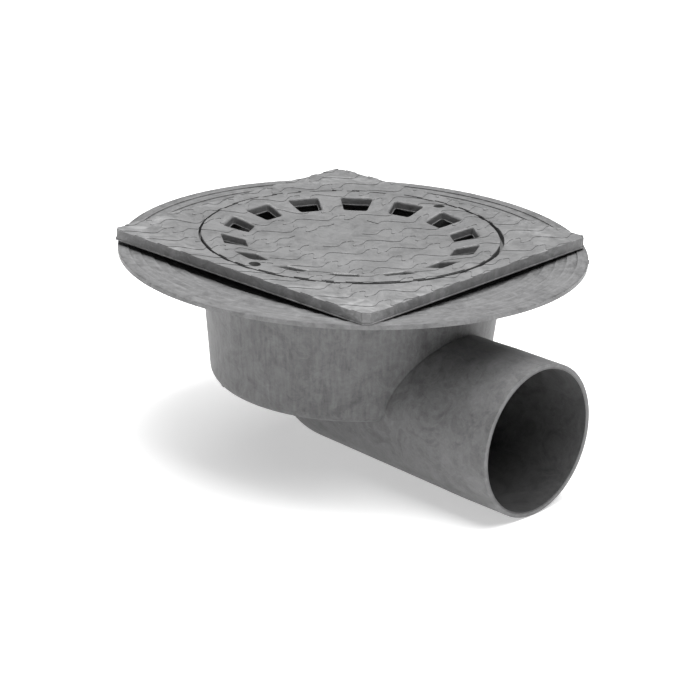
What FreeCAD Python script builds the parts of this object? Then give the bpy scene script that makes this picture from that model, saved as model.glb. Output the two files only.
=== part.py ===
"""Floor gully trap: moulded trap body with a wide flange and a side outlet, a
square top frame that slides in the mouth of the bowl, a round slotted grate
that rests in the frame, and a lift-out bell over the inner standpipe.

Millimetres, +Z up, +X along the outlet pipe. The origin is on the axis of the
bowl, in the plane of the flat ring under the flange, which the floor carries.
"""
import FreeCAD
import Part
import math
import os
from FreeCAD import Vector

# Flange of the trap body
flange_diameter = 275.0
flange_rim_thickness = 2.4
flange_rim_band = 6.3
flange_ring_pitch = 6.3
flange_ring_step = 0.6
flange_ring_count = 6
flange_wall = 2.6
rim_nub_radius = 0.9
rim_nub_reach = 0.55
rim_nub_angle = 39.0

# Bowl, a cone that narrows downwards
bowl_mouth_outer_radius = 90.2
bowl_depth = 77.5
bowl_draft_angle = 5.95
bowl_wall = 3.0
bowl_bottom_rounding = 7.5

# Outlet pipe, with a straight spigot at its mouth and a drafted root
outlet_outer_diameter = 90.0
outlet_wall = 3.0
outlet_axis_depth = 75.0
outlet_reach = 147.5
outlet_spigot_length = 35.0
outlet_root_taper = 2.4

# Standpipe inside the bowl, which sets the water level
standpipe_outer_radius = 42.0
standpipe_wall = 3.0
standpipe_rim_depth = 16.5

# Support fins inside the bowl wall, which carry the collar of the frame
fin_count = 8
fin_thickness = 3.0
fin_start_angle = 22.5
collar_seat_depth = 28.0

# Square top frame
frame_side = 196.4
frame_height = 6.6
frame_underside_height = 3.1
frame_corner_cut = 3.0
frame_plate_thickness = 2.6
frame_skirt_width = 2.6
frame_turn = 2.7
frame_shift = (-1.0, -0.85)
frame_rib_count = 16
frame_rib_thickness = 2.4

# Round well of the frame, with the ledge for the grate and the sliding collar
grate_gap = 2.15
well_wall = 2.4
ledge_thickness = 2.4
collar_wall = 2.4
collar_to_bowl_gap = 2.5

# Round grate, dished so that water runs to its slots
grate_diameter = 175.0
grate_thickness = 5.0
grate_dish_depth = 4.1
grate_dish_rim_radius = 78.0
grate_dish_floor_radius = 60.0
grate_stands_proud = 0.3
grate_turn = 3.0
grate_shift = (-0.35, -0.35)
slot_count = 14
slot_inner_radius = 61.2
slot_outer_radius = 75.3
slot_inner_width = 13.8
slot_outer_width = 19.5
slot_corner_radius = 1.5
key_hole_diameter = 7.0
key_hole_radius = 81.5
panel_length = 61.0
panel_width = 24.0
panel_centre = (-16.0, 6.2)
panel_corner_radius = 3.0

# Wave relief of the tread, raised on the frame and on the grate
relief_height = 0.5
wave_column = 34.4
wave_strip = 9.3
wave_swing = 4.6
wave_second_swing = 1.7
wave_edge_bulge = 3.2
wave_edge_lift = 0.8
wave_long_segments = 8
wave_short_segments = 4
wave_cell_gap = 0.25
frame_wave_origin = (80.1, -5.2)
grate_wave_origin = (27.8, -37.5)

# Bell, a cup turned upside down over the standpipe
bell_skirt_depth = 29.0
bell_inner_radius = 54.0
bell_wall = 2.0
bell_crown_depth = 6.5
bell_crown_thickness = 2.5
bell_edge_rounding = 4.0
bell_fin_count = 4
bell_fin_thickness = 3.0
bell_fin_clearance = 0.8
bell_fin_overlap = 4.0
bell_fin_bottom_depth = 24.0
bell_fin_start_angle = 45.0
bell_grip_length = 34.0
bell_grip_width = 5.0
bell_grip_height = 3.0

# Sizes that follow from the ones above
flange_radius = flange_diameter / 2
outlet_radius = outlet_outer_diameter / 2
outlet_root_radius = outlet_radius - outlet_root_taper
grate_radius = grate_diameter / 2
well_radius = grate_radius + grate_gap
frame_top = frame_underside_height + frame_height
grate_top = frame_top + grate_stands_proud
grate_underside = grate_top - grate_thickness
ledge_underside = grate_underside - ledge_thickness
bowl_slope = math.tan(math.radians(bowl_draft_angle))
dish_depth = flange_ring_step * flange_ring_count
dish_inner_radius = flange_radius - flange_rim_band - flange_ring_pitch * (flange_ring_count - 1)
bell_outer_radius = bell_inner_radius + bell_wall
bell_top = bell_crown_thickness - bell_crown_depth

# Far enough past any face for a clean cut
margin = 1.0
up = Vector(0, 0, 1)
along_pipe = Vector(1, 0, 0)


def bowl_outer_radius(z):
    """Outer radius of the bowl's cone at height z below the flange."""
    return bowl_mouth_outer_radius + bowl_slope * z


def bowl_inner_radius(z):
    """Inner radius of the bowl's cone at height z below the flange."""
    return bowl_outer_radius(z) - bowl_wall


def turned(points):
    """Solid of revolution about Z from a closed outline of (radius, height)."""
    outline = Part.makePolygon([Vector(r, 0, z) for r, z in points + points[:1]])
    return Part.Face(outline).revolve(Vector(0, 0, 0), up, 360)


def disc(radius, bottom, top):
    """Upright cylinder between two heights."""
    return Part.makeCylinder(radius, top - bottom, Vector(0, 0, bottom))


def ring(inner, outer, bottom, top):
    """Upright tube between two heights."""
    return disc(outer, bottom, top).cut(disc(inner, bottom - margin, top + margin))


def prism(points, bottom, top):
    """Upright prism on an outline of (x, y) points."""
    outline = Part.makePolygon([Vector(x, y, bottom) for x, y in points + points[:1]])
    return Part.Face(outline).extrude(Vector(0, 0, top - bottom))


def round_upright_edges(solid, radius):
    """Rounds the vertical edges of a prism."""
    upright = [edge for edge in solid.Edges if abs(edge.tangentAt(edge.FirstParameter).z) > 0.9]
    return solid.makeFillet(radius, upright)


def spun(solid, angle):
    """Copy of a solid, turned about Z."""
    copy = solid.copy()
    copy.rotate(Vector(0, 0, 0), up, angle)
    return copy


def radial_plate(inner, outer, thickness, bottom, top):
    """Upright plate that stands along +X between two radii."""
    corner = Vector(inner, -thickness / 2, bottom)
    return Part.makeBox(outer - inner, thickness, top - bottom, corner)


def flange_and_bowl_outside():
    """Outline of flange and bowl together, filled."""
    points = [(0, flange_rim_thickness - dish_depth)]
    radius = dish_inner_radius
    height = flange_rim_thickness - dish_depth
    for ring in range(flange_ring_count):
        points.append((radius, height))
        height += flange_ring_step
        points.append((radius, height))
        radius += flange_ring_pitch
    points.append((flange_radius, flange_rim_thickness))
    points.append((flange_radius, 0))
    points.append((flange_radius - flange_rim_band, 0))
    throat = flange_rim_thickness - dish_depth - flange_wall
    points.append((bowl_outer_radius(throat) + flange_wall, throat))
    points.append((bowl_outer_radius(throat - flange_wall), throat - flange_wall))
    points.append((bowl_outer_radius(-bowl_depth), -bowl_depth))
    points.append((0, -bowl_depth))
    solid = turned(points)
    corner = [edge for edge in solid.Edges if is_ring(edge, bowl_outer_radius(-bowl_depth), -bowl_depth)]
    return solid.makeFillet(bowl_bottom_rounding, corner)


def is_ring(edge, radius, height):
    """True for a round edge about Z with this radius and height."""
    if not isinstance(edge.Curve, Part.Circle):
        return False
    right_height = abs(edge.Curve.Center.z - height) < 0.01
    return right_height and abs(edge.Curve.Radius - radius) < 0.01


def bowl_inside():
    """Hollow of the bowl, open at the top."""
    top = flange_rim_thickness + margin
    floor = bowl_wall - bowl_depth
    points = [(0, top), (bowl_inner_radius(top), top), (bowl_inner_radius(floor), floor), (0, floor)]
    solid = turned(points)
    corner = [edge for edge in solid.Edges if is_ring(edge, bowl_inner_radius(floor), floor)]
    return solid.makeFillet(bowl_bottom_rounding - bowl_wall, corner)


def outlet_shape(shrink, reach, top):
    """Outlet pipe with its round closed end and the standpipe that rises from it."""
    root = outlet_root_radius - shrink
    mouth = outlet_radius - shrink
    straight = outlet_reach - outlet_spigot_length
    outline = [
        Part.Arc(Vector(-root, 0, 0), Vector(-root * math.sqrt(0.5), 0, root * math.sqrt(0.5)),
                 Vector(0, 0, root)).toShape(),
        Part.LineSegment(Vector(0, 0, root), Vector(straight, 0, mouth)).toShape(),
        Part.LineSegment(Vector(straight, 0, mouth), Vector(reach, 0, mouth)).toShape(),
        Part.LineSegment(Vector(reach, 0, mouth), Vector(reach, 0, 0)).toShape(),
        Part.LineSegment(Vector(reach, 0, 0), Vector(-root, 0, 0)).toShape(),
    ]
    pipe = Part.Face(Part.Wire(outline)).revolve(Vector(0, 0, 0), along_pipe, 360)
    pipe.translate(Vector(0, 0, -outlet_axis_depth))
    riser = disc(standpipe_outer_radius - shrink, -outlet_axis_depth, top)
    return pipe.fuse(riser)


def support_fins():
    """Fins on the bowl wall whose tops carry the frame's collar."""
    fins = []
    inner = collar_inner_radius(-collar_seat_depth) - math.hypot(*frame_shift)
    outer = bowl_outer_radius(-bowl_depth) - bowl_wall / 2
    for number in range(fin_count):
        fin = radial_plate(inner, outer, fin_thickness, bowl_wall / 2 - bowl_depth, -collar_seat_depth)
        fins.append(spun(fin, fin_start_angle + number * 360 / fin_count))
    return fins


def rim_nub():
    """Small moulding mark that stands out of the flange's rim."""
    nub = disc(rim_nub_radius, 0, flange_rim_thickness)
    nub.translate(Vector(flange_radius + rim_nub_reach - rim_nub_radius, 0, 0))
    return spun(nub, rim_nub_angle)


def make_trap_body():
    """Flange, bowl, outlet and standpipe, moulded in one piece."""
    shell = flange_and_bowl_outside().cut(bowl_inside())
    outside = outlet_shape(0, outlet_reach, -standpipe_rim_depth)
    inside = outlet_shape(outlet_wall, outlet_reach + margin, margin - standpipe_rim_depth)
    body = shell.fuse([outside, rim_nub()] + support_fins())
    return body.cut(inside).removeSplitter()


def long_edge_point(row, column, share):
    """Point on the long wavy edge between two strips, share 0 to 1 along it."""
    swing = -wave_swing * math.sin(2 * math.pi * share) + wave_second_swing * math.sin(4 * math.pi * share)
    x = wave_strip * (row + column + share) + swing
    return x, wave_column * (column + share)


def short_edge_point(row, column, share):
    """Point on the short slanted edge between two columns, share 0 to 1 along it."""
    bulge = math.sin(2 * math.pi * share)
    x = wave_strip * (row + column - share) + wave_edge_lift * bulge
    return x, wave_column * column - wave_edge_bulge * bulge


def wave_cell(row, column):
    """Outline of one raised cell, shrunk a little so that cells don't touch."""
    steps = range(wave_long_segments)
    lower = [long_edge_point(row, column, step / wave_long_segments) for step in steps]
    upper = [long_edge_point(row - 1, column, 1 - step / wave_long_segments) for step in steps]
    steps = range(wave_short_segments)
    right = [short_edge_point(row, column + 1, step / wave_short_segments) for step in steps]
    left = [short_edge_point(row, column, 1 - step / wave_short_segments) for step in steps]
    points = lower + right + upper + left
    middle_x = wave_strip * (row + column)
    middle_y = wave_column * (column + 0.5)
    shrink_x = 1 - 2 * wave_cell_gap / wave_strip
    shrink_y = 1 - 2 * wave_cell_gap / wave_column
    return [(middle_x + (x - middle_x) * shrink_x, middle_y + (y - middle_y) * shrink_y) for x, y in points]


def wave_relief(region, origin, reach, bottom, top):
    """Raised cells of the tread that lie inside a region, as solids."""
    start_x, start_y = origin
    columns = math.ceil(reach / wave_column) + 2
    rows = math.ceil(reach / wave_strip) + 2
    cells = []
    for column in range(-2 * columns, 2 * columns):
        for row in range(-3 * rows, 3 * rows):
            if (row + column) % 2:
                continue
            outline = [(start_x + x, start_y + y) for x, y in wave_cell(row, column)]
            if all(abs(x) > reach or abs(y) > reach for x, y in outline):
                continue
            cells.append(prism(outline, bottom, top))
    return Part.Compound(cells).common(region)


def collar_outer_radius(z):
    """Outer radius of the frame's collar at height z, drafted like the bowl."""
    return bowl_inner_radius(z) - collar_to_bowl_gap


def collar_inner_radius(z):
    """Inner radius of the frame's collar at height z."""
    return collar_outer_radius(z) - collar_wall


def square_outline(side, corner_cut):
    """Square outline with its corners cut off."""
    half = side / 2
    inner = half - corner_cut
    return [(half, -inner), (half, inner), (inner, half), (-inner, half),
            (-half, inner), (-half, -inner), (-inner, -half), (inner, -half)]


def make_top_frame():
    """Square plate with its skirt, the well and ledge for the grate, and the collar."""
    plate_top = frame_top - relief_height
    outline = square_outline(frame_side, frame_corner_cut)
    plate = prism(outline, frame_underside_height, plate_top)
    pocket_side = frame_side - 2 * frame_skirt_width
    pocket = prism(square_outline(pocket_side, frame_corner_cut), frame_underside_height - margin,
                   plate_top - frame_plate_thickness)
    well_outer = well_radius + well_wall
    pocket = pocket.cut(disc(well_outer, frame_underside_height - margin, frame_top))
    for number in range(frame_rib_count):
        rib = radial_plate(well_outer - margin, frame_side, frame_rib_thickness,
                           frame_underside_height, plate_top)
        pocket = pocket.cut(spun(rib, (number + 0.5) * 360 / frame_rib_count))
    plate = plate.cut(pocket)
    # The ledge reaches inwards under the grate, by its own thickness at least, and outwards to the collar
    ledge_inner = min(collar_inner_radius(ledge_underside), grate_radius - ledge_thickness)
    ledge_outer = max(well_outer, collar_outer_radius(grate_underside))
    well = ring(well_radius, well_outer, ledge_underside, plate_top)
    ledge = ring(ledge_inner, ledge_outer, ledge_underside, grate_underside)
    collar = turned([
        (collar_outer_radius(grate_underside), grate_underside),
        (collar_outer_radius(-collar_seat_depth), -collar_seat_depth),
        (collar_inner_radius(-collar_seat_depth), -collar_seat_depth),
        (collar_inner_radius(grate_underside), grate_underside),
    ])
    opening = disc(well_radius, grate_underside, frame_top + margin)
    plate = plate.cut(disc(well_radius, frame_underside_height - margin, frame_top)).fuse([well, ledge, collar])
    tread = prism(outline, plate_top - margin, frame_top).cut(opening)
    relief = wave_relief(tread, frame_wave_origin, frame_side / 2, plate_top - margin, frame_top)
    frame = plate.fuse(relief.Solids).removeSplitter()
    frame.rotate(Vector(0, 0, 0), up, frame_turn)
    frame.translate(Vector(frame_shift[0], frame_shift[1], 0))
    return frame


def dished_plate(rim_bottom, rim_top):
    """Round plate with the grate's dish in both faces, between two heights at its rim."""
    above = [(0, rim_top - grate_dish_depth), (grate_dish_floor_radius, rim_top - grate_dish_depth),
             (grate_dish_rim_radius, rim_top), (grate_radius, rim_top)]
    below = [(radius, height + rim_bottom - rim_top) for radius, height in above]
    return turned(above + below[::-1])


def make_grate():
    """Round dished and slotted plate with the tread relief, a bare panel and two key holes."""
    plate_top = grate_top - relief_height
    lowest = grate_underside - grate_dish_depth - margin
    plate = dished_plate(grate_underside, plate_top)
    half_length = panel_length / 2
    half_width = panel_width / 2
    panel = prism([(-half_width, -half_length), (half_width, -half_length),
                   (half_width, half_length), (-half_width, half_length)], lowest, grate_top)
    panel = round_upright_edges(panel, panel_corner_radius)
    panel.translate(Vector(panel_centre[0], panel_centre[1], 0))
    region = dished_plate(plate_top - margin, grate_top).cut(panel)
    relief = wave_relief(region, grate_wave_origin, grate_radius, lowest, grate_top)
    grate = plate.fuse(relief.Solids)
    slot = prism([(slot_inner_radius, -slot_inner_width / 2), (slot_outer_radius, -slot_outer_width / 2),
                  (slot_outer_radius, slot_outer_width / 2), (slot_inner_radius, slot_inner_width / 2)],
                 lowest, grate_top + margin)
    slot = round_upright_edges(slot, slot_corner_radius)
    cuts = [spun(slot, number * 360 / slot_count) for number in range(slot_count)]
    for side in (-1, 1):
        hole = disc(key_hole_diameter / 2, grate_underside - margin, grate_top + margin)
        hole.translate(Vector(0, side * key_hole_radius, 0))
        cuts.append(hole)
    grate = grate.cut(cuts).removeSplitter()
    grate.rotate(Vector(0, 0, 0), up, grate_turn)
    grate.translate(Vector(frame_shift[0] + grate_shift[0], frame_shift[1] + grate_shift[1], 0))
    return grate


def make_trap_bell():
    """Cup over the standpipe, with fins that hold its crown clear of the rim."""
    cup = disc(bell_outer_radius, -bell_skirt_depth, bell_top)
    top_edge = [edge for edge in cup.Edges if is_ring(edge, bell_outer_radius, bell_top)]
    cup = cup.makeFillet(bell_edge_rounding, top_edge)
    hollow = disc(bell_inner_radius, -bell_skirt_depth - margin, -bell_crown_depth)
    crown_edge = [edge for edge in hollow.Edges if is_ring(edge, bell_inner_radius, -bell_crown_depth)]
    hollow = hollow.makeFillet(bell_edge_rounding - bell_wall, crown_edge)
    bell = cup.cut(hollow)
    rim_inside = standpipe_outer_radius - standpipe_wall - bell_fin_overlap
    skirt_middle = bell_inner_radius + bell_wall / 2
    crown_middle = bell_top - bell_crown_thickness / 2
    pieces = []
    for number in range(bell_fin_count):
        seat = radial_plate(rim_inside, skirt_middle - bell_edge_rounding, bell_fin_thickness,
                            -standpipe_rim_depth, crown_middle)
        guide = radial_plate(standpipe_outer_radius + bell_fin_clearance, skirt_middle, bell_fin_thickness,
                             -bell_fin_bottom_depth, -bell_crown_depth - bell_edge_rounding)
        angle = bell_fin_start_angle + number * 360 / bell_fin_count
        pieces.append(spun(seat.fuse(guide), angle))
    grip = Part.makeBox(bell_grip_width, bell_grip_length, bell_grip_height + margin,
                        Vector(-bell_grip_width / 2, -bell_grip_length / 2, bell_top - margin))
    grip = round_upright_edges(grip, bell_grip_width / 2 - 0.2)
    return bell.fuse(pieces + [grip]).removeSplitter()


def write(name, shape):
    """Writes one sub-part as a STEP file and reports what it holds."""
    shape.exportStep(os.path.join("parts", name + ".step"))
    box = shape.BoundBox
    print(name, "solids", len(shape.Solids), "valid", shape.isValid(), "volume", round(shape.Volume),
          "box", round(box.XMin, 1), round(box.XMax, 1), round(box.YMin, 1), round(box.YMax, 1),
          round(box.ZMin, 1), round(box.ZMax, 1))


os.makedirs("parts", exist_ok=True)
write("trap_body", make_trap_body())
write("top_frame", make_top_frame())
write("grate", make_grate())
write("trap_bell", make_trap_bell())
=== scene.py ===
"""Looks of the floor gully trap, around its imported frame. Metres, +Z up, +X along the outlet pipe."""
import math

import bmesh
import bpy
from mathutils import Matrix, Vector


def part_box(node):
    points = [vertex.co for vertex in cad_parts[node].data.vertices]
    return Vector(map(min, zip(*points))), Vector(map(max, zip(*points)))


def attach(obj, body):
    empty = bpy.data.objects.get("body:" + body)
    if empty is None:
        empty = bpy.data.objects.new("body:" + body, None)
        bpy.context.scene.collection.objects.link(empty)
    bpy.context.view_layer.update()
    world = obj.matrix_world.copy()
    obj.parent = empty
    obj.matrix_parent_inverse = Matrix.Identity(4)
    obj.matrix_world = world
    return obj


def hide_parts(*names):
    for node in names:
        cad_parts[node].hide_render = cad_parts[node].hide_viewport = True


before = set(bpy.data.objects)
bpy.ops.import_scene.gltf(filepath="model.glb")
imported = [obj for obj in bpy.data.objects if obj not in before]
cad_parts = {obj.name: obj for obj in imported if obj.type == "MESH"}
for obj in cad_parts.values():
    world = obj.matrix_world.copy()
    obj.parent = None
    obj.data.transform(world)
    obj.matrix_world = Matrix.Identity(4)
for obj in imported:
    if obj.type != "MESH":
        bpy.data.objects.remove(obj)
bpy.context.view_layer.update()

MM = 0.001
FRAME_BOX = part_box("top_frame")
GRATE_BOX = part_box("grate")
BODY_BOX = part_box("trap_body")

# Square top frame, as moulded
FRAME_SIDE = 196.4 * MM
FRAME_CORNER_CUT = 3.0 * MM
FRAME_TURN = math.radians(2.7)
FRAME_CENTRE = Vector((-1.0, -0.85, 0)) * MM
FRAME_TOP = FRAME_BOX[1].z
FRAME_UNDERSIDE = FRAME_TOP - 6.6 * MM
FRAME_PLATE = 2.6 * MM
SKIRT_WIDTH = 2.6 * MM
RELIEF = 0.42 * MM
EDGE_SOFTNESS = 0.3 * MM
FLASH_REACH = 0.5 * MM
FLASH_HEIGHT = 0.5 * MM
RIB_COUNT = 16
RIB_THICKNESS = 2.4 * MM

# Warp of the frame: side along X, side along Y and lift of each corner, and how far from the well it sets in
CORNER_LIFT = ((-1, -1, 1.9 * MM), (1, 1, 1.0 * MM), (1, -1, -0.6 * MM))
WARP_REACH = 12.0 * MM

# Round grate and the well that holds it
GRATE_RADIUS = 87.5 * MM
GRATE_TURN = math.radians(3.0)
GRATE_CENTRE = FRAME_CENTRE + Vector((-0.35, -0.35, 0)) * MM
GRATE_TOP = GRATE_BOX[1].z
GRATE_UNDERSIDE = GRATE_TOP - 5.0 * MM
DISH_RIM = 78.0 * MM
DISH_FLOOR = 60.0 * MM
DISH_DEPTH = 4.1 * MM
DISH_SOFTNESS = 3.0 * MM
DISH_GRID = 3.5 * MM
WELL_RADIUS = GRATE_RADIUS + 1.9 * MM
WELL_WALL = 2.4 * MM
LEDGE = 2.4 * MM
COLLAR_WALL = 2.4 * MM
COLLAR_FOOT = FRAME_BOX[0].z
COLLAR_FOOT_RADIUS = 81.8 * MM
COLLAR_SLOPE = math.tan(math.radians(5.95))
SLOT_COUNT = 14
SLOT_INNER = (61.2 * MM, 13.8 * MM)
SLOT_OUTER = (75.3 * MM, 19.5 * MM)
SLOT_CORNER = 1.5 * MM
SLOT_CORNER_STEPS = 6
SLOT_LIP = 0.5 * MM
SLOT_LIP_REACH = 0.35 * MM
SLOT_LIP_SLOPE = 0.05 * MM
SLOT_ROUNDING = 1.5 * MM
SLOT_ROUNDING_STEPS = 5
SLOT_END_SPREAD = 2.5
KEY_HOLE_RADIUS = 3.5 * MM
KEY_HOLE_REACH = 81.5 * MM
PANEL_SIZE = (24.0 * MM, 61.0 * MM)
PANEL_CENTRE = Vector((-16.0, 6.2, 0)) * MM

# Flange, bowl and pipe of the trap body, for the pattern of its plastic
FLANGE_FOOT = -7.0 * MM
FLANGE_DISH_RADIUS = 99.7 * MM
FLANGE_RING = 6.3 * MM
BOWL_MOUTH_RADIUS = 90.2 * MM
BOWL_SLOPE = 0.104
BOWL_DEPTH = 77.5 * MM
OUTLET_DEPTH = 75.0 * MM
OUTLET_BORE_RADIUS = 42.0 * MM

# Wave relief of the tread
WAVE_COLUMN = 34.4 * MM
WAVE_STRIP = 9.3 * MM
WAVE_SWING = 4.6 * MM
WAVE_SECOND_SWING = 1.7 * MM
WAVE_EDGE_BULGE = 3.2 * MM
WAVE_EDGE_LIFT = 0.8 * MM
WAVE_CELL_GAP = 0.15 * MM
FRAME_WAVE_START = (80.1 * MM, -5.2 * MM)
GRATE_WAVE_START = (27.8 * MM, -37.5 * MM)
LONG_STEPS = 20
SHORT_STEPS = 10
CELL_BEVEL = 0.75 * MM

# Fineness of round shapes, and how close two corners lie to be one
ROUND_STEPS = 192
HOLE_STEPS = 40
MERGE = 0.002 * MM
SHARP_ANGLE = math.radians(28)

# Shades of the plastics and of the floor, from black 0 to white 1
TREAD_SHADE = 0.172
BODY_SHADE = 0.152
BELL_SHADE = 0.12
FLOOR_SHADE = 0.86
FLOOR_GLOW = 0.45

# Camera, as the photograph stands
CAMERA_AZIMUTH = math.radians(43.7)
CAMERA_ELEVATION = math.radians(20.39)
CAMERA_ROLL = math.radians(2.008)
CAMERA_DISTANCE = 1443.7 * MM
CAMERA_TARGET = Vector((0.126, 0.120, -62.65)) * MM
CAMERA_LENS = 124.69

# Studio: name, azimuth, elevation, distance, width and power of each soft light
SOFTBOXES = (("overhead_softbox", 100, 74, 4.0, 3.6, 255),
             ("left_softbox", 275, 74, 4.0, 3.6, 120),
             ("front_softbox", 10, 4, 3.0, 2.0, 0.8))
SKY = 0.10
FLOOR_HALF_WIDTH = 8.0
FLOOR_GAP = 0.5 * MM


class Wire:
    """A shader socket that can be used in plain arithmetic."""

    def __init__(self, finish, socket):
        self.finish = finish
        self.socket = socket

    def _maths(self, operation, *values):
        return self.finish.node("ShaderNodeMath", {"operation": operation}, *values)

    def __add__(self, other):
        return self._maths("ADD", self, other)

    def __radd__(self, other):
        return self._maths("ADD", other, self)

    def __sub__(self, other):
        return self._maths("SUBTRACT", self, other)

    def __rsub__(self, other):
        return self._maths("SUBTRACT", other, self)

    def __mul__(self, other):
        return self._maths("MULTIPLY", self, other)

    def __rmul__(self, other):
        return self._maths("MULTIPLY", other, self)

    def __abs__(self):
        return self._maths("ABSOLUTE", self)

    def over(self, low, high):
        """0 below low, 1 above high, smooth between them."""
        settings = {"interpolation_type": "SMOOTHSTEP"}
        return self.finish.node("ShaderNodeMapRange", settings, self, low, high, 0.0, 1.0)


class Finish:
    """One procedural material and the nodes that make it."""

    def __init__(self, name):
        self.material = bpy.data.materials.new(name)
        self.material.use_nodes = True
        self.tree = self.material.node_tree
        self.shader = self.tree.nodes["Principled BSDF"]

    def node(self, kind, settings, *values, output=0, **named):
        """Adds a node, sets it, feeds its sockets and returns one output."""
        made = self.tree.nodes.new(kind)
        for key, value in settings.items():
            setattr(made, key, value)
        feeds = [(made.inputs[place], value) for place, value in enumerate(values)]
        feeds += [(made.inputs[key.replace("_", " ")], value) for key, value in named.items()]
        for socket, value in feeds:
            self.feed(socket, value)
        return Wire(self, made.outputs[output])

    def feed(self, socket, value):
        if isinstance(value, Wire):
            self.tree.links.new(value.socket, socket)
        elif value is not None:
            socket.default_value = value

    def place(self):
        """Object coordinates, in millimetres."""
        spot = self.node("ShaderNodeTexCoord", {}, output=3)
        return self.node("ShaderNodeVectorMath", {"operation": "SCALE"}, spot, Scale=1 / MM)

    def parts(self, vector):
        """The three numbers of a vector."""
        split = self.node("ShaderNodeSeparateXYZ", {}, vector)
        return [Wire(self, split.socket.node.outputs[number]) for number in range(3)]

    def join(self, x, y, z):
        """A vector from three numbers."""
        return self.node("ShaderNodeCombineXYZ", {}, x, y, z)

    def noise(self, vector, size, detail=2.0, roughness=0.5, distortion=0.0):
        """Soft noise from 0 to 1, whose blobs are about size millimetres across."""
        return self.node("ShaderNodeTexNoise", {}, Vector=vector, Scale=1 / size, Detail=detail,
                         Roughness=roughness, Distortion=distortion)

    def length(self, vector):
        """Length of a vector."""
        return self.node("ShaderNodeVectorMath", {"operation": "LENGTH"}, vector, output=1)

    def slope(self):
        """How far the surface faces up: 1 is level, 0 is upright, -1 is an underside."""
        return self.parts(self.node("ShaderNodeNewGeometry", {}, output=3))[2]

    def grey(self, shade, blue=1.01):
        """A grey from one number, with a hair more or less blue."""
        return self.node("ShaderNodeCombineColor", {}, shade, shade, shade * blue)

    def bump(self, height, depth, under=None):
        """Surface normal from a height of 0 to 1 that stands for depth millimetres."""
        return self.node("ShaderNodeBump", {}, Height=height, Strength=1.0, Distance=depth * MM, Normal=under)

    def set(self, **values):
        """Feeds the shader's sockets and returns the material."""
        for key, value in values.items():
            self.feed(self.shader.inputs[key.replace("_", " ")], value)
        return self.material


def tread_plastic():
    """Grey plastic of frame and grate: pale swirls on the tread, painted shade on upright walls, and the
    darkest painted shade in the gap round the grate.
    """
    finish = Finish("tread_plastic")
    place = finish.place()
    x, y, z = finish.parts(place)
    # Upright faces, which get painted shade below, darker than the tops
    wall = 1 - finish.slope().over(0.25, 0.6)
    middle = (FRAME_CENTRE + GRATE_CENTRE) / 2 / MM
    reach = finish.length(finish.join(x - middle.x, y - middle.y, 0.0))
    grate, well = GRATE_RADIUS / MM, WELL_RADIUS / MM
    # Walls in the gap between grate and well, which get painted shade below
    gap = reach.over(grate - 1.5, grate - 0.9) * (1 - reach.over(well + 0.6, well + 1.1)) * wall
    cloud = finish.noise(place, 34.0, detail=3.0, distortion=1.4)
    swirl = finish.noise(place, 15.0, detail=4.0, roughness=0.6, distortion=2.6)
    vein = 1 - abs(swirl - 0.5).over(0.0, 0.05)
    fleck = finish.noise(place, 1.6, detail=2.0)
    blotch = finish.noise(place, 19.0, detail=4.0, roughness=0.6, distortion=2.4).over(0.46, 0.66)
    blush = blotch * reach.over(82.0, 122.0)
    shade = TREAD_SHADE + (cloud - 0.5) * 0.13 + (swirl - 0.5) * 0.11 + vein * 0.018 + (fleck - 0.5) * 0.05
    shade = (shade + blush * (0.045 + 0.08 * swirl)) * (0.96 + 0.09 * (x - y).over(-120.0, 120.0))
    # Painted shade: upright walls darker, the walls of the gap round the grate darker still
    shade = shade * (1 - 0.22 * wall - 0.45 * gap)
    skin = finish.bump(finish.noise(place, 0.9, detail=2.0), 0.05)
    wavy = finish.bump(swirl, 0.5, under=skin)
    return finish.set(Base_Color=finish.grey(shade), Roughness=0.5 + (swirl - 0.5) * 0.25, Normal=wavy)


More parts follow.
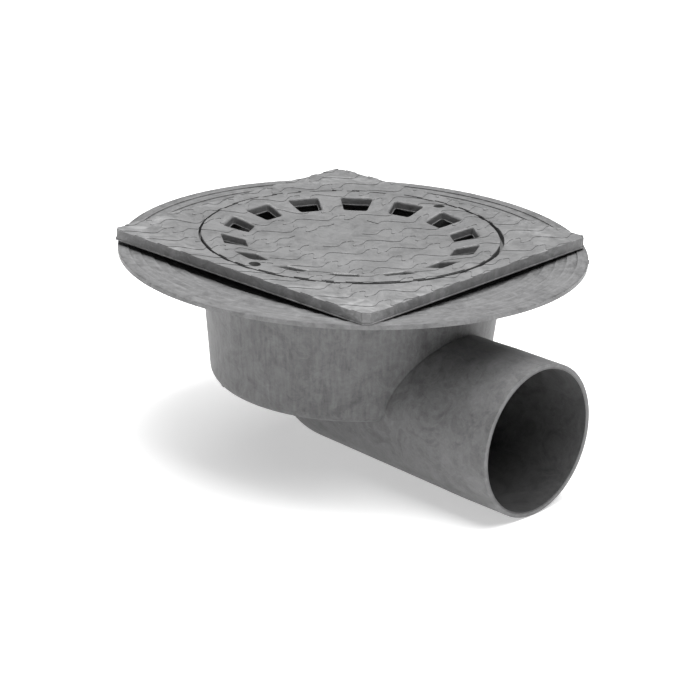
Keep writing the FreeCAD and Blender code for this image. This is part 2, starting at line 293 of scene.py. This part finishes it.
def body_plastic():
    """Grey plastic of the trap body: streaks down the bowl, streaks along the flange rings, clouds on the
    pipe; painted highlights and shade at the flange steps, painted shade in the pipe's bore and below the
    flange.
    """
    finish = Finish("body_plastic")
    place = finish.place()
    x, y, z = finish.parts(place)
    reach = finish.length(finish.join(x, y, 0.0))
    angle = finish.node("ShaderNodeMath", {"operation": "ARCTAN2"}, y, x)
    flange = z.over(FLANGE_FOOT / MM, FLANGE_FOOT / MM + 2.0)
    mouth, floor = BOWL_MOUTH_RADIUS / MM, -BOWL_DEPTH / MM
    past_bowl = (reach - z * BOWL_SLOPE).over(mouth + 0.5, mouth + 1.5)
    bowl = (1 - flange) * (1 - past_bowl) * z.over(floor - 1.5, floor + 2.5)
    inner, pitch = FLANGE_DISH_RADIUS / MM, FLANGE_RING / MM
    tread = flange * finish.slope().over(0.2, 0.6) * reach.over(inner - 2.7, inner - 0.7)
    ring = finish.node("ShaderNodeMath", {"operation": "FRACT"}, (reach - inner) * (1 / pitch))
    ringed = finish.noise(finish.join(reach * 0.45, angle * 9.0, z * 0.1), 1.0, detail=3.0, distortion=0.8)
    streak = finish.noise(finish.join(x, y, z * 0.12), 2.2, detail=3.0, roughness=0.6)
    cloud = finish.noise(place, 18.0, detail=4.0, roughness=0.62, distortion=1.6)
    mottle = finish.noise(place, 3.2, detail=3.0, roughness=0.65, distortion=0.8)
    vein = 1 - abs(cloud - 0.48).over(0.0, 0.03)
    shade = BODY_SHADE + (cloud - 0.5) * 0.17 + (mottle - 0.5) * 0.13 + vein * 0.018
    shade = shade + (streak - 0.5) * 0.14 * bowl + (ringed - 0.5) * 0.12 * flange
    # Painted highlight on the upper edge of each flange step and painted shade at the foot of each riser
    shade = shade + tread * (0.016 * (1 - ring.over(0.02, 0.35)) - 0.030 * ring.over(0.72, 0.97))
    # Painted shade in the outlet pipe's bore, deepest low in the bore
    axis, bore = OUTLET_DEPTH / MM, OUTLET_BORE_RADIUS / MM
    from_axis = finish.length(finish.join(y, z + axis, 0.0))
    bore_shade = (1 - from_axis.over(bore + 0.6, bore + 1.2)) * x.over(43.0, 60.0)
    height_in_bore = z.over(-axis - bore + 1.0, -axis - bore + 25.0)
    # Painted shade: the body below the flange darker, the bowl darker still, and the bore's painted shade
    shade = shade * (1 - bore_shade * (0.62 - 0.27 * height_in_bore)) * (0.84 + flange * 0.18 - bowl * 0.10)
    skin = finish.bump(finish.noise(place, 0.9, detail=2.0), 0.05)
    wavy = finish.bump(cloud, 0.4, under=skin)
    return finish.set(Base_Color=finish.grey(shade), Roughness=0.52 + (mottle - 0.5) * 0.2, Normal=wavy)


def inner_plastic():
    """Plain grey plastic of the hidden bell."""
    finish = Finish("inner_plastic")
    place = finish.place()
    cloud = finish.noise(place, 14.0, detail=4.0, distortion=1.0)
    skin = finish.bump(finish.noise(place, 0.9, detail=2.0), 0.05)
    colour = finish.grey(BELL_SHADE + (cloud - 0.5) * 0.05)
    return finish.set(Base_Color=colour, Roughness=0.5 + (cloud - 0.5) * 0.2, Normal=skin)


def floor_paint():
    """Pale, even studio floor that glows a little, as a light table does."""
    finish = Finish("studio_floor")
    cloud = finish.noise(finish.place(), 300.0, detail=1.0)
    white = finish.grey(FLOOR_SHADE + (cloud - 0.5) * 0.01, blue=1.0)
    return finish.set(Base_Color=white, Roughness=0.9, Emission_Strength=FLOOR_GLOW)


def loose(bm):
    """Mesh object from a bmesh, not yet in the scene's list of pieces."""
    bmesh.ops.recalc_face_normals(bm, faces=bm.faces)
    mesh = bpy.data.meshes.new("shape")
    bm.to_mesh(mesh)
    bm.free()
    shape = bpy.data.objects.new("shape", mesh)
    bpy.context.scene.collection.objects.link(shape)
    return shape


def work(target, operation, *tools):
    """Joins, cuts or keeps the target with each tool in turn, and deletes the tools."""
    for tool in tools:
        step = target.modifiers.new("step", "BOOLEAN")
        step.operation = operation
        step.solver = "EXACT"
        step.object = tool
    graph = bpy.context.evaluated_depsgraph_get()
    mesh = bpy.data.meshes.new_from_object(target.evaluated_get(graph))
    target.modifiers.clear()
    target.data = mesh
    for tool in tools:
        bpy.data.objects.remove(tool)
    return target


def face_up(bm, points, height):
    """Flat face on an outline of (x, y) points."""
    return bm.faces.new([bm.verts.new((x, y, height)) for x, y in points])


def raise_face(bm, face, rise):
    """Extrudes a face upwards and returns its new end."""
    made = bmesh.ops.extrude_face_region(bm, geom=[face])["geom"]
    corners = [item for item in made if isinstance(item, bmesh.types.BMVert)]
    bmesh.ops.translate(bm, verts=corners, vec=(0, 0, rise))
    return next(item for item in made if isinstance(item, bmesh.types.BMFace))


def block(points, bottom, top):
    """Upright prism on an outline."""
    bm = bmesh.new()
    raise_face(bm, face_up(bm, points, bottom), top - bottom)
    return loose(bm)


def round_block(radius, bottom, top, steps=ROUND_STEPS, centre=Vector((0, 0, 0))):
    """Upright cylinder."""
    bm = bmesh.new()
    middle = Matrix.Translation(centre + Vector((0, 0, (top + bottom) / 2)))
    bmesh.ops.create_cone(bm, cap_ends=True, segments=steps, radius1=radius, radius2=radius,
                          depth=top - bottom, matrix=middle)
    return loose(bm)


def turned(profile):
    """Closed profile of (radius, height) points, spun about Z."""
    bm = bmesh.new()
    corners = [bm.verts.new((radius, 0, height)) for radius, height in profile]
    ring = [bm.edges.new((corners[place - 1], corners[place])) for place in range(len(corners))]
    bmesh.ops.spin(bm, geom=corners + ring, cent=(0, 0, 0), axis=(0, 0, 1), angle=math.tau,
                   steps=ROUND_STEPS, use_merge=True)
    bmesh.ops.remove_doubles(bm, verts=bm.verts, dist=0.001 * MM)
    return loose(bm)


def square_outline(side, cut):
    """Square with its corners cut off."""
    half = side / 2
    inner = half - cut
    return [(half, -inner), (half, inner), (inner, half), (-inner, half),
            (-half, inner), (-half, -inner), (-inner, -half), (inner, -half)]


def long_edge(row, column, share):
    """Point on the long wavy edge between two strips."""
    swing = WAVE_SECOND_SWING * math.sin(2 * math.tau * share) - WAVE_SWING * math.sin(math.tau * share)
    return WAVE_STRIP * (row + column + share) + swing, WAVE_COLUMN * (column + share)


def short_edge(row, column, share):
    """Point on the short slanted edge between two columns."""
    bulge = math.sin(math.tau * share)
    across = WAVE_COLUMN * column - WAVE_EDGE_BULGE * bulge
    return WAVE_STRIP * (row + column - share) + WAVE_EDGE_LIFT * bulge, across


def cell_outline(row, column):
    """Outline of one raised cell of the tread, a hair smaller than its place."""
    points = [long_edge(row, column, step / LONG_STEPS) for step in range(LONG_STEPS)]
    points += [short_edge(row, column + 1, step / SHORT_STEPS) for step in range(SHORT_STEPS)]
    points += [long_edge(row - 1, column, 1 - step / LONG_STEPS) for step in range(LONG_STEPS)]
    points += [short_edge(row, column, 1 - step / SHORT_STEPS) for step in range(SHORT_STEPS)]
    middle = Vector((WAVE_STRIP * (row + column), WAVE_COLUMN * (column + 0.5)))
    shrink = Vector((1 - 2 * WAVE_CELL_GAP / WAVE_STRIP, 1 - 2 * WAVE_CELL_GAP / WAVE_COLUMN))
    return [(middle.x + (x - middle.x) * shrink.x, middle.y + (y - middle.y) * shrink.y) for x, y in points]


def tread_cells(start, reach, bottom, top):
    """Raised cells of the tread, with soft upper edges, over a square of this half width."""
    bm = bmesh.new()
    columns = math.ceil(reach / WAVE_COLUMN) + 3
    rows = math.ceil(reach / WAVE_STRIP) + 3
    for column in range(-2 * columns, 2 * columns):
        for row in range(-3 * rows, 3 * rows):
            if (row + column) % 2:
                continue
            points = [(start[0] + x, start[1] + y) for x, y in cell_outline(row, column)]
            if all(abs(x) > reach or abs(y) > reach for x, y in points):
                continue
            end = raise_face(bm, face_up(bm, points, bottom), top - bottom)
            bmesh.ops.bevel(bm, geom=list(end.edges), offset=CELL_BEVEL, offset_type="OFFSET", segments=2,
                            profile=0.5, affect="EDGES", material=-1, clamp_overlap=True)
    return loose(bm)


def soften(shape, picked):
    """Bevels the edges for which picked is true."""
    bm = bmesh.new()
    bm.from_mesh(shape.data)
    edges = [edge for edge in bm.edges if picked(edge)]
    bmesh.ops.bevel(bm, geom=edges, offset=EDGE_SOFTNESS, offset_type="OFFSET", segments=2, profile=0.5,
                    affect="EDGES", material=-1, clamp_overlap=True)
    bm.to_mesh(shape.data)
    bm.free()
    return shape


def finish_piece(shape, name, body, node, material, turn, centre):
    """Turns a finished shape into its place and makes it a named piece that rides on a body."""
    bm = bmesh.new()
    bm.from_mesh(shape.data)
    bmesh.ops.remove_doubles(bm, verts=bm.verts, dist=MERGE)
    bmesh.ops.dissolve_degenerate(bm, edges=bm.edges, dist=MERGE)
    bmesh.ops.transform(bm, matrix=Matrix.Translation(centre) @ Matrix.Rotation(turn, 4, "Z"), verts=bm.verts)
    bmesh.ops.triangulate(bm, faces=[face for face in bm.faces if len(face.verts) > 4])
    for face in bm.faces:
        face.smooth = True
    for edge in bm.edges:
        edge.smooth = len(edge.link_faces) == 2 and edge.calc_face_angle(math.pi) < SHARP_ANGLE
    bm.to_mesh(shape.data)
    bm.free()
    shape.data.validate()
    shape.name = name
    shape.data.name = name
    shape.data.materials.clear()
    shape.data.materials.append(material)
    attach(shape, body)
    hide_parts(node)
    return shape


def flat_rim(heights):
    """Test for level edges at one of these heights."""
    def picked(edge):
        a, b = (vertex.co.z for vertex in edge.verts)
        return abs(a - b) < 0.01 * MM and any(abs(a - height) < 0.01 * MM for height in heights)
    return picked


def collar_radius(height):
    """Outer radius of the frame's collar, which is drafted like the bowl."""
    return COLLAR_FOOT_RADIUS + COLLAR_SLOPE * (height - COLLAR_FOOT)


def make_top_frame(material):
    """Square tread plate with its skirt, ribs, well, ledge and collar."""
    plate_top = FRAME_TOP - RELIEF
    plate = block(square_outline(FRAME_SIDE, FRAME_CORNER_CUT), FRAME_UNDERSIDE, plate_top)
    soften(plate, flat_rim((plate_top,)))
    flash = block(square_outline(FRAME_SIDE + 2 * FLASH_REACH, FRAME_CORNER_CUT), FRAME_UNDERSIDE,
                  FRAME_UNDERSIDE + FLASH_HEIGHT)
    pocket = block(square_outline(FRAME_SIDE - 2 * SKIRT_WIDTH, FRAME_CORNER_CUT), FRAME_UNDERSIDE - LEDGE,
                   plate_top - FRAME_PLATE)
    ledge_underside = GRATE_UNDERSIDE - LEDGE
    well_middle = WELL_RADIUS + WELL_WALL / 2
    work(plate, "UNION", flash)
    work(plate, "DIFFERENCE", pocket, round_block(well_middle, FRAME_UNDERSIDE - LEDGE, FRAME_TOP))
    foot = collar_radius(COLLAR_FOOT)
    throat = collar_radius(ledge_underside)
    well = turned([
        (WELL_RADIUS, plate_top),
        (WELL_RADIUS + WELL_WALL, plate_top),
        (WELL_RADIUS + WELL_WALL, ledge_underside),
        (throat, ledge_underside),
        (foot, COLLAR_FOOT),
        (foot - COLLAR_WALL, COLLAR_FOOT),
        (throat - COLLAR_WALL, ledge_underside),
        (throat - COLLAR_WALL, GRATE_UNDERSIDE),
        (WELL_RADIUS, GRATE_UNDERSIDE),
    ])
    ribs = frame_ribs(well_middle, plate_top - FRAME_PLATE)
    cells = tread_cells(FRAME_WAVE_START, FRAME_SIDE / 2, plate_top - RELIEF, FRAME_TOP)
    low, high = plate_top - 2 * RELIEF, FRAME_TOP + RELIEF
    work(cells, "INTERSECT", block(square_outline(FRAME_SIDE - EDGE_SOFTNESS, FRAME_CORNER_CUT), low, high))
    work(cells, "DIFFERENCE", round_block(WELL_RADIUS + EDGE_SOFTNESS / 2, low, high))
    work(plate, "UNION", well, ribs, cells)
    warp(plate)
    return finish_piece(plate, "top_frame_moulding", "cover", "top_frame", material,
                        FRAME_TURN, FRAME_CENTRE)


def warp(shape):
    """Lifts or drops the corners of the frame's plate a little, with its edges left straight."""
    half = FRAME_SIDE / 2
    for vertex in shape.data.vertices:
        x, y, z = vertex.co
        share = min(max((math.hypot(x, y) - WELL_RADIUS - WELL_WALL) / WARP_REACH, 0), 1)
        for side_x, side_y, lift in CORNER_LIFT:
            vertex.co.z += share * lift * (1 + side_x * x / half) * (1 + side_y * y / half) / 4


def frame_ribs(inner, top):
    """Short ribs under the frame, between its well and its skirt."""
    bm = bmesh.new()
    for number in range(RIB_COUNT):
        angle = math.tau * (number + 0.5) / RIB_COUNT
        reach = (FRAME_SIDE / 2 - SKIRT_WIDTH / 2) / max(abs(math.cos(angle)), abs(math.sin(angle)))
        reach = min(reach, FRAME_SIDE / math.sqrt(2) - FRAME_CORNER_CUT)
        size = Matrix.Diagonal((reach - inner, RIB_THICKNESS, top - FRAME_UNDERSIDE + EDGE_SOFTNESS, 1))
        spot = Matrix.Translation(((reach + inner) / 2, 0, (top + FRAME_UNDERSIDE + EDGE_SOFTNESS) / 2))
        bmesh.ops.create_cube(bm, size=1.0, matrix=Matrix.Rotation(angle, 4, "Z") @ spot @ size)
    return loose(bm)


def slot_ring(bm, spread, height):
    """Ring of corners round one wedge slot, spread outwards by some length."""
    (inner, inner_width), (outer, outer_width) = SLOT_INNER, SLOT_OUTER
    side = math.pi / 2 + math.atan2((outer_width - inner_width) / 2, outer - inner)
    ends = [(inner, -inner_width / 2, -math.pi, -side), (outer, -outer_width / 2, -side, 0),
            (outer, outer_width / 2, 0, side), (inner, inner_width / 2, side, math.pi)]
    ring = []
    for x, y, first, last in ends:
        half = (last - first) / 2
        back = SLOT_CORNER / math.cos(half)
        middle = (first + last) / 2
        centre = (x - back * math.cos(middle), y - back * math.sin(middle))
        for step in range(SLOT_CORNER_STEPS + 1):
            angle = first + (last - first) * step / SLOT_CORNER_STEPS
            across, along = math.cos(angle), math.sin(angle)
            far = SLOT_CORNER * across + spread * across * (SLOT_END_SPREAD if across < 0 else 1)
            ring.append(bm.verts.new((centre[0] + far, centre[1] + (SLOT_CORNER + spread) * along, height)))
    return ring


def slot_cutter():
    """Cutter for one wedge slot: a fine lip at the bottom, plain walls and a rounded upper edge."""
    bm = bmesh.new()
    bottom = GRATE_UNDERSIDE + SLOT_LIP
    levels = [(-SLOT_LIP_REACH, GRATE_UNDERSIDE - RELIEF), (-SLOT_LIP_REACH, bottom - SLOT_LIP_SLOPE)]
    levels.append((0.0, bottom))
    for step in range(SLOT_ROUNDING_STEPS + 1):
        angle = math.pi / 2 * step / SLOT_ROUNDING_STEPS
        height = GRATE_TOP + SLOT_ROUNDING * (math.sin(angle) - 1)
        levels.append((SLOT_ROUNDING * (1 - math.cos(angle)), height))
    levels.append((SLOT_ROUNDING, GRATE_TOP + RELIEF))
    rings = [slot_ring(bm, spread, height) for spread, height in levels]
    for below, above in zip(rings, rings[1:]):
        for place in range(len(below)):
            bm.faces.new((below[place - 1], below[place], above[place], above[place - 1]))
    bm.faces.new(rings[0])
    bm.faces.new(rings[-1])
    return bm


def dish(radius):
    """How far the grate's dish lies below its rim at this radius."""
    def ramp(reach):
        if reach <= -DISH_SOFTNESS:
            return 0
        return reach if reach >= DISH_SOFTNESS else (reach + DISH_SOFTNESS) ** 2 / (4 * DISH_SOFTNESS)
    return DISH_DEPTH / (DISH_RIM - DISH_FLOOR) * (ramp(DISH_RIM - radius) - ramp(DISH_FLOOR - radius))


def sink(shape):
    """Bends the flat grate into its dish, on a grid of cuts fine enough to follow it."""
    bm = bmesh.new()
    bm.from_mesh(shape.data)
    bmesh.ops.remove_doubles(bm, verts=bm.verts, dist=MERGE)
    bmesh.ops.triangulate(bm, faces=bm.faces)
    count = math.floor(DISH_RIM / DISH_GRID) + 1
    for normal in ((1, 0, 0), (0, 1, 0)):
        for number in range(-count, count + 1):
            place = Vector(normal) * number * DISH_GRID
            bmesh.ops.bisect_plane(bm, geom=bm.verts[:] + bm.edges[:] + bm.faces[:], dist=MERGE,
                                   plane_co=place, plane_no=normal)
    for vertex in bm.verts:
        vertex.co.z -= dish(vertex.co.xy.length)
    bm.to_mesh(shape.data)
    bm.free()


def make_grate(material):
    """Round dished and slotted plate with the tread relief, a bare panel and two key holes."""
    plate_top = GRATE_TOP - RELIEF
    plate = round_block(GRATE_RADIUS, GRATE_UNDERSIDE, plate_top)
    soften(plate, flat_rim((plate_top, GRATE_UNDERSIDE)))
    low, high = plate_top - 2 * RELIEF, GRATE_TOP + RELIEF
    cells = tread_cells(GRATE_WAVE_START, GRATE_RADIUS, plate_top - RELIEF, GRATE_TOP)
    work(cells, "INTERSECT", round_block(GRATE_RADIUS - EDGE_SOFTNESS / 2, low, high))
    corners = [(PANEL_CENTRE.x + side_x * PANEL_SIZE[0] / 2, PANEL_CENTRE.y + side_y * PANEL_SIZE[1] / 2)
               for side_x, side_y in ((-1, -1), (1, -1), (1, 1), (-1, 1))]
    work(cells, "DIFFERENCE", block(corners, low, high))
    work(plate, "UNION", cells)
    cutters = []
    for number in range(SLOT_COUNT):
        bm = slot_cutter()
        turn = Matrix.Rotation(math.tau * number / SLOT_COUNT, 4, "Z")
        bmesh.ops.transform(bm, matrix=turn, verts=bm.verts)
        cutters.append(loose(bm))
    for side in (-1, 1):
        spot = Vector((0, side * KEY_HOLE_REACH, 0))
        cutters.append(round_block(KEY_HOLE_RADIUS, GRATE_UNDERSIDE - RELIEF, high, HOLE_STEPS, spot))
    work(plate, "DIFFERENCE", *cutters)
    sink(plate)
    return finish_piece(plate, "grate_moulding", "cover", "grate", material,
                        GRATE_TURN, GRATE_CENTRE)


def dress(node, material):
    """Gives a CAD node its finish."""
    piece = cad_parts[node]
    piece.data.materials.clear()
    piece.data.materials.append(material)


def place_camera():
    """Camera where the photograph was taken from."""
    forward = Vector((-math.sin(CAMERA_AZIMUTH) * math.cos(CAMERA_ELEVATION),
                      math.cos(CAMERA_AZIMUTH) * math.cos(CAMERA_ELEVATION), -math.sin(CAMERA_ELEVATION)))
    right = Vector((math.cos(CAMERA_AZIMUTH), math.sin(CAMERA_AZIMUTH), 0))
    above = right.cross(forward)
    tilted_right = right * math.cos(CAMERA_ROLL) + above * math.sin(CAMERA_ROLL)
    tilted_above = above * math.cos(CAMERA_ROLL) - right * math.sin(CAMERA_ROLL)
    spot = CAMERA_TARGET - forward * CAMERA_DISTANCE
    data = bpy.data.cameras.new("camera")
    data.lens = CAMERA_LENS
    data.sensor_width = 36
    data.clip_end = 50
    camera = bpy.data.objects.new("camera", data)
    facing = Matrix((tilted_right, tilted_above, -forward)).transposed().to_4x4()
    camera.matrix_world = Matrix.Translation(spot) @ facing
    bpy.context.scene.collection.objects.link(camera)
    bpy.context.scene.camera = camera


def area_light(name, azimuth, elevation, distance, size, power):
    """Soft square light that looks at the object."""
    data = bpy.data.lights.new(name, "AREA")
    data.size = size
    data.energy = power
    light = bpy.data.objects.new(name, data)
    a, e = math.radians(azimuth), math.radians(elevation)
    back = Vector((math.sin(a) * math.cos(e), -math.cos(a) * math.cos(e), math.sin(e)))
    light.location = back * distance
    light.rotation_euler = back.to_track_quat("Z", "Y").to_euler()
    bpy.context.scene.collection.objects.link(light)


def make_studio():
    """Pale floor, soft lights and a faint even sky."""
    bm = bmesh.new()
    bmesh.ops.create_grid(bm, x_segments=8, y_segments=8, size=FLOOR_HALF_WIDTH)
    bmesh.ops.translate(bm, verts=bm.verts, vec=(0, 0, BODY_BOX[0].z - FLOOR_GAP))
    floor = loose(bm)
    floor.name = "studio_floor"
    floor.data.materials.append(floor_paint())
    world = bpy.data.worlds.new("studio")
    world.use_nodes = True
    sky = world.node_tree.nodes["Background"]
    sky.inputs["Color"].default_value = (1, 1, 1, 1)
    sky.inputs["Strength"].default_value = SKY
    bpy.context.scene.world = world
    for softbox in SOFTBOXES:
        area_light(*softbox)
    bpy.context.scene.view_settings.view_transform = "Standard"


dress("trap_body", body_plastic())
dress("trap_bell", inner_plastic())
tread = tread_plastic()
make_top_frame(tread)
make_grate(tread)
place_camera()
make_studio()
